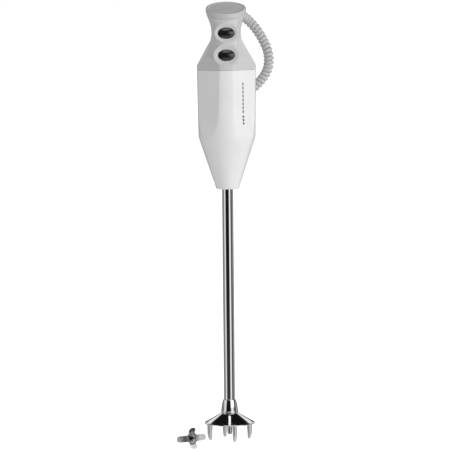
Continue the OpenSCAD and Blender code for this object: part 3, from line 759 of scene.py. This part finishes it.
def smooth_min(a, b, k):
    h = np.clip(0.5 + 0.5 * (b - a) / k, 0, 1)
    return b * (1 - h) + a * h - k * h * (1 - h)


def smooth_max(a, b, k):
    return -smooth_min(-a, -b, k)


def flat_radius(angle, z, inset):
    """Distance from the axis to the nearest of the four flats. Below FLAT_Z they run out in an arc."""
    drop = np.clip(FLAT_Z - z, 0, 90)
    distance = FLAT_R - inset + RUNOUT_R - np.sqrt(RUNOUT_R ** 2 - drop ** 2)
    across = np.mod(angle, math.pi / 2) - math.pi / 4
    return distance / np.cos(across)


def body_radius(angle, z, inset=0.0):
    return smooth_min(body_profile(z) - inset, flat_radius(angle, z, inset), 0.7)


def head_radius(angle, z):
    """The head's outline: the grip's own profile, filled out to the full radius over the button face."""
    side = np.abs(np.mod(angle + math.pi, TAU) - math.pi)
    share = ease((math.radians(62) - side) / math.radians(36))
    base = grip_profile(z)
    return base + (HEAD_R - base) * share


def face_place(angle, z, r, down):
    """Where a point of the grip lies on the button face: across, and up from a button's centre."""
    x = r * np.sin(angle)
    up = (z - FACE_Z) * math.cos(LEAN) + (FACE_Y - r * np.cos(angle)) * math.sin(LEAN) + down
    return x, up


def column_radius(angle, z, inset):
    """The column that carries the buttons: a rounded front between two upright sides. It ends below them."""
    s, c = np.abs(np.sin(angle)), np.cos(angle)
    front = FACE_Y - 0.5 - (z - FACE_Z) * math.tan(LEAN) - inset * 1.7
    below = np.maximum((FACE_Z - z) / math.cos(LEAN) - BUTTON_GAP, 0)
    front = front - 0.16 * below ** 2
    bend = 15.5 - inset
    centre = front - bend
    round_r = c * centre + np.sqrt(np.maximum(bend ** 2 - (s * centre) ** 2, 0))
    r = smooth_min(round_r, (HALF_COLUMN + 0.2 - inset) / np.maximum(s, 0.01), 2.5)
    r = smooth_min(r, limit_profile(z) - inset, 0.8)
    return np.where(c > 0.05, r, 0.0)


def pad_radius(angle, z, down, half_x, half_y):
    """The soft oval pad round a button: dished in the middle, rounded off at its rim."""
    c = np.cos(angle)
    front = np.maximum(c, 0.3)
    plane = (FACE_Y + 0.15 - (z - FACE_Z) * math.tan(LEAN)) / front
    x, up = face_place(angle, z, plane, down)
    out = np.hypot(x / half_x, up / half_y)
    dish = 1.35 * (1 - np.minimum(out / 0.94, 1) ** 2)
    fall = 62 * np.maximum(out - 0.92, 0) ** 2
    return np.where(c > 0.3, plane - dish - fall, 0.0)


def opening_dip(angle, z, r, down):
    """How far the surface rolls inwards at the edge of a button's opening."""
    x, up = face_place(angle, z, r, down)
    beyond = (np.hypot(x / 9.3, up / 6.3) - 1) * 7.5
    near = (np.cos(angle) > 0.3) & (beyond < 3)
    return np.where(near, 0.45 * np.exp(-(np.maximum(beyond, 0) / 0.55) ** 2), 0.0)


def grip_radius(angle, z, inset=0.0):
    r = smooth_min(grip_profile(z) - inset, flat_radius(angle, z, inset), 0.7)
    blend = 0.3 + 2.3 * ease((464 - z) / 8)
    r = smooth_max(r, column_radius(angle, z, inset), blend)
    if inset == 0:
        for down, half_x, half_y in PADS:
            r = smooth_max(r, pad_radius(angle, z, down, half_x, half_y), 1.0)
        for down, _, _ in PADS:
            r = r - opening_dip(angle, z, r, down)
        share = ease((z - 459) / 7)
        r = r * (1 - share) + head_radius(angle, z) * share
    return r


def edge_round(distance, radius):
    """How far a rounded edge draws in, at a distance from the edge's end."""
    t = 1 - np.clip(distance / radius, 0, 1)
    return radius * (1 - np.sqrt(1 - t * t))


def at_angle(angle, r, z):
    angle, r, z = np.broadcast_arrays(angle, r, z)
    return np.stack([r * np.sin(angle), -r * np.cos(angle), z], axis=-1)


def make_housing(material):
    """The white body: a round shell with four flats, a cone nose and a thick floor round the tube."""
    turns = 480
    angle = np.linspace(0, TAU, turns, endpoint=False)[:, None]
    lip = np.array([0, 0.05, 0.12, 0.22, 0.35, 0.5])
    heights = np.concatenate([JOINT_Z - lip, np.linspace(JOINT_Z - 1.4, NOSE_Z + 2.4, 110)])
    edge = np.array([1.2, 0.9, 0.6, 0.35, 0.15, 0.03, 0])
    heights = np.concatenate([heights, NOSE_Z + edge])[None, :]
    outer = body_radius(angle, heights)
    outer = outer - edge_round(JOINT_Z - heights, 0.25) - edge_round(heights - NOSE_Z, 1.2)
    floor_in = [(7.6, NOSE_Z), (7.6, NOSE_Z + 3), (6.05, NOSE_Z + 3), (6.05, NOSE_Z + 6)]
    inner_z = np.linspace(NOSE_Z + 6, JOINT_Z, 20)[None, :]
    inner = body_radius(angle, inner_z, WALL)
    grid = np.concatenate([
        at_angle(angle, outer, heights),
        *[at_angle(angle, np.full((turns, 1), r), np.full((1, 1), z)) for r, z in floor_in],
        at_angle(angle, inner, inner_z)], axis=1)
    return piece("housing_shell", *loop_solid(grid), material, "housing", "shell_white",
                 ("motor_housing",), 30)


def top_height(radius, angle, depth, rounds=14):
    """Height of the top plane, less a depth, where it meets an outline at each angle."""
    z = np.full(angle.shape, 478.0)
    for _ in range(rounds):
        z = CAP_Z - depth * UPRIGHT - CAP_SLOPE * radius(angle, z) * np.cos(angle)
    return z


def under_top(angle, r, depth):
    """A row of points at these radii, at a depth below the sloping top plane."""
    return at_angle(angle, r, CAP_Z - depth * UPRIGHT - CAP_SLOPE * r * np.cos(angle))


def fine_angles(turns=480):
    """Angles from the front round to the front again, closer together at the front."""
    t = np.linspace(-math.pi, math.pi, turns, endpoint=False)
    return (t - 0.55 * np.sin(t))[:, None]


def make_grip(material):
    """The grey grip: shoulder, neck and head in one shell, with a button column and its openings."""
    angle = fine_angles()
    top = top_height(grip_radius, angle, 6.0)
    share = np.concatenate([[0, 0.001, 0.003, 0.006], np.linspace(0.01, 0.99, 120), [0.994, 0.997, 0.999, 1]])
    z = CASING_Z + (top - CASING_Z) * share[None, :]
    outer = grip_radius(angle, z)
    outer = outer - edge_round(z - CASING_Z, 0.25) - edge_round(top - z, 0.4)
    back = np.linspace(1, 0, 24)
    wall = 2.0
    inner_top = top_height(lambda a, z: grip_radius(a, z, wall), angle, 6.0)
    inner_z = CASING_Z + (inner_top - CASING_Z) * back[None, :]
    inner = grip_radius(angle, inner_z, wall)
    grid = np.concatenate([at_angle(angle, outer, z), at_angle(angle, inner, inner_z)], axis=1)
    shell = piece("grip_shell", *loop_solid(grid), material, "housing", "grip_grey", ("upper_casing",), 30)
    for down in (0, BUTTON_GAP):
        steps = ((9.3, 6.3, -5), (9.3, 6.3, 3.5), (11.0, 8.2, 3.6), (11.0, 8.2, 14))
        cut_away(shell, *capped_solid([face_ring(w, h, depth, down, 120) for w, h, depth in steps]))
    hole = [section_ring(6.2, 6.2, 2, (0, 0), z, 72) for z in (-38, 0)]
    points, faces = capped_solid(hole)
    matrix = relief_matrix()
    cut_away(shell, points @ matrix[:3, :3].T + matrix[:3, 3], faces)
    shoulder_r, screw_z = 32.5, 414.0
    seat = [(2.9, -1.0), (2.9, 0.5), (1.6, 2.0), (1.6, 9.0)]
    around = np.linspace(0, TAU, 40, False)
    rings = [[(shoulder_r - depth, r * math.cos(k), screw_z + r * math.sin(k)) for k in around]
             for r, depth in seat]
    points, faces = capped_solid(rings)
    for azimuth in (0, 90, 180):
        a = math.radians(azimuth)
        spin = np.array([[math.cos(a), -math.sin(a), 0], [math.sin(a), math.cos(a), 0], [0, 0, 1]])
        cut_away(shell, points @ spin.T, faces)
    return shell


def make_cap(material):
    """The sloping top: a lid with a rounded edge, a raised rim and a shallow dish with one ring in it."""
    angle = fine_angles(360)
    edge = [(1.5 * (1 - math.cos(a)), 1.5 * (1 - math.sin(a))) for a in np.linspace(0, math.pi / 2, 9)]
    sides = [(0.35, 5.2), (0.1, 5.1), (0.0, 4.85), (0.0, 3.6), (0.0, 2.4)] + edge
    rows = []
    for inset, depth in sides:
        z = top_height(head_radius, angle, depth)
        r = head_radius(angle, z) - inset
        rows.append(under_top(angle, r, depth))
    rim = head_radius(angle, top_height(head_radius, angle, 0))
    dish = [(2.9, 0.0), (3.2, 0.06), (3.6, 0.35), (3.9, 0.5), (4.4, 0.55)]
    for inset, depth in dish:
        r = rim - inset
        rows.append(under_top(angle, r, depth))
    for share in np.linspace(0.97, 0.03, 34):
        ring = 0.4 * math.exp(-((share - 0.62) / 0.04) ** 2)
        r = (rim - 4.4) * share
        depth = 0.55 - ring
        rows.append(under_top(angle, r, depth))
    grid = [np.asarray(row).reshape(-1, 3) for row in rows]
    return piece("cap_lid", *capped_solid(grid), material, "housing", "cap_grey", ("top_cap",), 32)


def make_gasket(material):
    """The thin gasket in the seam between the cap and the grip."""
    angle = fine_angles(240)
    grid = []
    for inset, depth in ((0.4, 5.15), (0.4, 6.05), (3.6, 6.05), (3.6, 5.15)):
        r = head_radius(angle, top_height(head_radius, angle, depth)) - inset
        grid.append(under_top(angle, r, depth))
    return piece("cap_gasket", *loop_solid(np.concatenate(grid, axis=1)), material, "housing", "dark_seal",
                 ("cap_seal",))


def face_ring(half_w, half_h, depth, down, around=96):
    """A ring of points on an oval in the button face's frame, at a depth into the grip."""
    a = np.linspace(0, TAU, around, endpoint=False)
    x = half_w * np.cos(a)
    up = half_h * np.sin(a) - down
    y = -FACE_Y + up * math.sin(LEAN) + depth * math.cos(LEAN)
    z = FACE_Z + up * math.cos(LEAN) - depth * math.sin(LEAN)
    return np.column_stack([x, y, z])


def make_button(name, node, body, down, material):
    """A glossy push button: a crowned oval cap with a soft edge, its flange and the stem below."""
    rings = [(2.2, 2.2, 8.0), (2.2, 2.2, 5.5), (2.6, 2.6, 5.4), (10.2, 7.4, 5.4), (10.3, 7.5, 5.3),
             (10.3, 7.5, 4.4), (9.0, 6.0, 4.35), (9.0, 6.0, 2.0), (9.0, 6.0, 1.1)]
    grid = [face_ring(w, h, d, down) for w, h, d in rings]
    for a in np.linspace(0.12, math.pi / 2, 8):
        pull = 0.9 * (1 - math.cos(a))
        grid.append(face_ring(9.0 - pull, 6.0 - pull, 1.1 - 1.1 * math.sin(a), down))
    for share in np.linspace(0.95, 0.04, 16):
        crown = -1.5 * (1 - share ** 2)
        grid.append(face_ring(8.1 * share, 5.1 * share, crown, down))
    return piece(name, *capped_solid(grid), material, body, "button_black", (node,), 40)


def make_side_mark(material):
    """A plain dashed line and dot printed on the right-hand front flat, in place of lettering."""
    normal = np.array([1, -1, 0]) / math.sqrt(2)
    tangent = np.array([1, 1, 0]) / math.sqrt(2)
    centre, proud = -2.5, 0.05

    def strip(low, high, width):
        rings = []
        for share in (1 - np.cos(np.linspace(0.02, math.pi - 0.02, 30))) / 2:
            z = low + (high - low) * share
            end = min(z - low, high - z) / width
            w = width * math.sqrt(1 - max(0.0, 1 - end) ** 2)
            out = FLAT_R + RUNOUT_R - math.sqrt(RUNOUT_R ** 2 - max(0, FLAT_Z - z) ** 2)
            rings.append([normal * (out + h) + tangent * (centre + u) + np.array([0, 0, z])
                          for u, h in ((-w, -0.3), (w, -0.3), (w, proud), (-w, proud))])
        return capped_solid(rings)

    dashes = [strip(z, z + 3.4, 0.85) for z in np.arange(364, 396, 4.3)]
    bars = [strip(z, z + 2.6, 1.3) for z in (351.5, 355.2, 358.9)]
    return piece("side_mark", *joined(*dashes, *bars), material, "housing", "switch_grey", (), 60)


# ---------------------------------------------------------------- the shaft, the guard and the loose blade

def make_tube(material):
    """The polished shaft tube."""
    low, high, outer, bore = 27.0, 299.0, 6.0, 5.0
    profile = [(bore, low), (outer, low)]
    profile += [(outer, z) for z in np.linspace(low + 6, high - 6, 12)]
    profile += [(outer, high), (bore, high)]
    return piece("tube_polished", *turned(profile, 200), material, "housing", "polished_steel",
                 ("shaft_tube",))


def make_ferrule(material):
    """The flared sleeve between tube and guard, with a rolled lip at its foot."""
    outer = [(9.45, 30.35), (9.7, 30.55), (9.85, 30.95), (9.82, 31.35), (9.62, 31.75), (9.38, 32.05),
             (9.28, 32.6), (9.1, 34), (8.7, 37), (8.15, 40.2), (7.5, 43.3), (7.1, 44.7), (6.85, 45.1),
             (6.5, 45.2), (6.05, 45.15)]
    curve, _ = curve_through([(r, 0, z) for r, z in outer], 0.25)
    profile = [(r, z) for r, _, z in curve] + [(6.05, 30.3)]
    return piece("ferrule_sleeve", *turned(profile, 200), material, "housing", "polished_steel",
                 ("ferrule",), 50)


def foot_solid(turn):
    """One foot: a tapering prong with rounded edges and a blunt rounded tip."""
    rings = []
    a = np.linspace(0, TAU, 40, endpoint=False)
    for z in np.concatenate([[0, 0.12, 0.35, 0.7, 1.2], np.linspace(1.8, 20.3, 30)]):
        inner = np.interp(z, [0, 8, 20], [20.8, 20.3, 19.5])
        outer = np.interp(z, [0, 2.6, 7.5, 20], [23.0, 24.3, 25.4, 25.7])
        half = np.interp(z, [0, 1, 3, 8, 20], [1.2, 1.45, 1.75, 2.1, 2.2])
        pull = 0.55 * (1 - math.sqrt(1 - max(0.0, 1 - z / 0.7) ** 2))
        centre, reach = (inner + outer) / 2, (outer - inner) / 2 - pull
        x = centre + reach * np.sign(np.cos(a)) * np.abs(np.cos(a)) ** (2 / 3.2)
        y = (half - pull) * np.sign(np.sin(a)) * np.abs(np.sin(a)) ** (2 / 2.8)
        t = math.radians(turn)
        rings.append(np.column_stack([x * math.cos(t) - y * math.sin(t), x * math.sin(t) + y * math.cos(t),
                                      np.full(len(a), z)]))
    return capped_solid(rings)


def make_guard(material):
    """The blade guard: a thin trumpet-shaped bell, its flat flange rim and four feet."""
    bore, top, inner_top = 6.05, 30.3, 27.6
    section = [(8.9, top), (9.35, 30.1), (9.9, 29.75), (11.6, 28.75), (14.7, 26.9), (18.1, 24.9),
               (21.2, 23.05), (23.6, 21.65), (25.2, 20.75), (26.5, 20.1), (27.3, 19.65), (27.75, 19.15),
               (27.8, 18.5), (27.45, 18.05), (26.9, 18.0), (26.5, 18.25), (25.6, 18.9), (21.1, 21.3),
               (14.7, 24.7)]
    curve, _ = curve_through([(r, 0, z) for r, z in section], 0.35)
    profile = [(bore, top)] + [(r, z) for r, _, z in curve] + [(8.4, inner_top), (bore, inner_top)]
    bell = piece("guard_bell", *turned(profile, 200), material, "housing", "guard_steel", ("guard",), 40)
    for turn in (14, 104, 194, 284):
        combine(bell, *foot_solid(turn), "UNION", 40)
    return bell


def softened_copy(node, name, width, body, material):
    """A copy of a CAD node with its edges rounded a little, to stand for it."""
    made = cad_copy(node, name, body, material)
    mesh = made.data
    bm = bmesh.new()
    bm.from_mesh(mesh)
    bmesh.ops.remove_doubles(bm, verts=bm.verts, dist=1e-6)
    bmesh.ops.dissolve_limit(bm, angle_limit=math.radians(1), verts=bm.verts, edges=bm.edges)
    bm.to_mesh(mesh)
    bm.free()
    corner = math.radians(32)
    bevel = made.modifiers.new("edges", "BEVEL")
    bevel.width = width * MM
    bevel.segments = 2
    bevel.limit_method = "ANGLE"
    bevel.angle_limit = corner
    bevel.harden_normals = True
    mesh.shade_smooth()
    mesh.set_sharp_from_angle(angle=corner)
    return made


def make_bore_shade_plate(material):
    """A thin dished plate that closes the foot of the loose blade's bore; it is near-black, painted shade
    inside the hole.
    """
    lie = Euler((math.radians(81.4), 0, math.radians(-17.7))).to_matrix().to_4x4()
    matrix = Matrix.Translation((-40.8, -72, 12.3)) @ lie
    profile = [(0.01, -0.7), (1.2, -0.6), (2.2, -0.8), (2.95, -0.8), (2.95, 0.1), (2.4, 0.15),
               (1.2, -0.1), (0.01, -0.2)]
    # the plate's dark colour is painted shade inside the bore, not a finish of the hub
    return piece("bore_shade_plate", *turned(profile, 48, matrix), material, "blade", "screw_steel")


def make_spring(node, name, material):
    """A button's return spring: the CAD coil again, as a copy with its own mesh."""
    made = cad_copy(node, name, "housing", material)
    made.data.shade_smooth()
    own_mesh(made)
    return made


# ---------------------------------------------------------------- putting it together

bpy.context.scene.view_settings.view_transform = "Standard"
make_camera()
look = make_materials()
cord, cord_length = make_cord(look["cord_grey"])
boot = make_boot(look["cord_grey"])
tie = make_tie(look["dark_seal"])
plug = make_plug(look["plug_grey"], look["plug_metal"], look["switch_grey"])

make_world()
make_floor()
area_light("key", 52, 22, 2.6, 1.3, 1.6, 34)
area_light("fill", -60, 25, 3.0, 1.2, 1.6, 2)

for part in frame["record"]["subparts"]:
    mesh = frame["nodes"][part["node"]].data
    mesh.materials.clear()
    mesh.materials.append(look[part["material_slot"]])

make_housing(look["shell_white"])
make_grip(look["grip_grey"])
make_cap(look["cap_grey"])
make_gasket(look["seal_grey"])
frame["nodes"]["joint_seal"].data.materials[0] = look["seal_grey"]
make_button("button_cap_high", "button_high", "button_high", 0, look["button_black"])
make_button("button_cap_low", "button_low", "button_low", BUTTON_GAP, look["button_black"])
make_spring("button_spring_high", "spring_high", look["screw_steel"])
make_spring("button_spring_low", "spring_low", look["screw_steel"])
make_side_mark(look["switch_grey"])
make_tube(look["polished_steel"])
make_ferrule(look["polished_steel"])
make_guard(look["guard_steel"])
softened_copy("blade_hub", "hub_turned", 0.2, "blade", look["blade_satin"])
softened_copy("blade_cutters", "cross_blade", 0.15, "blade", look["blade_satin"])
# a dark plate in the blade's bore: painted shade inside the hole
make_bore_shade_plate(look["switch_grey"])
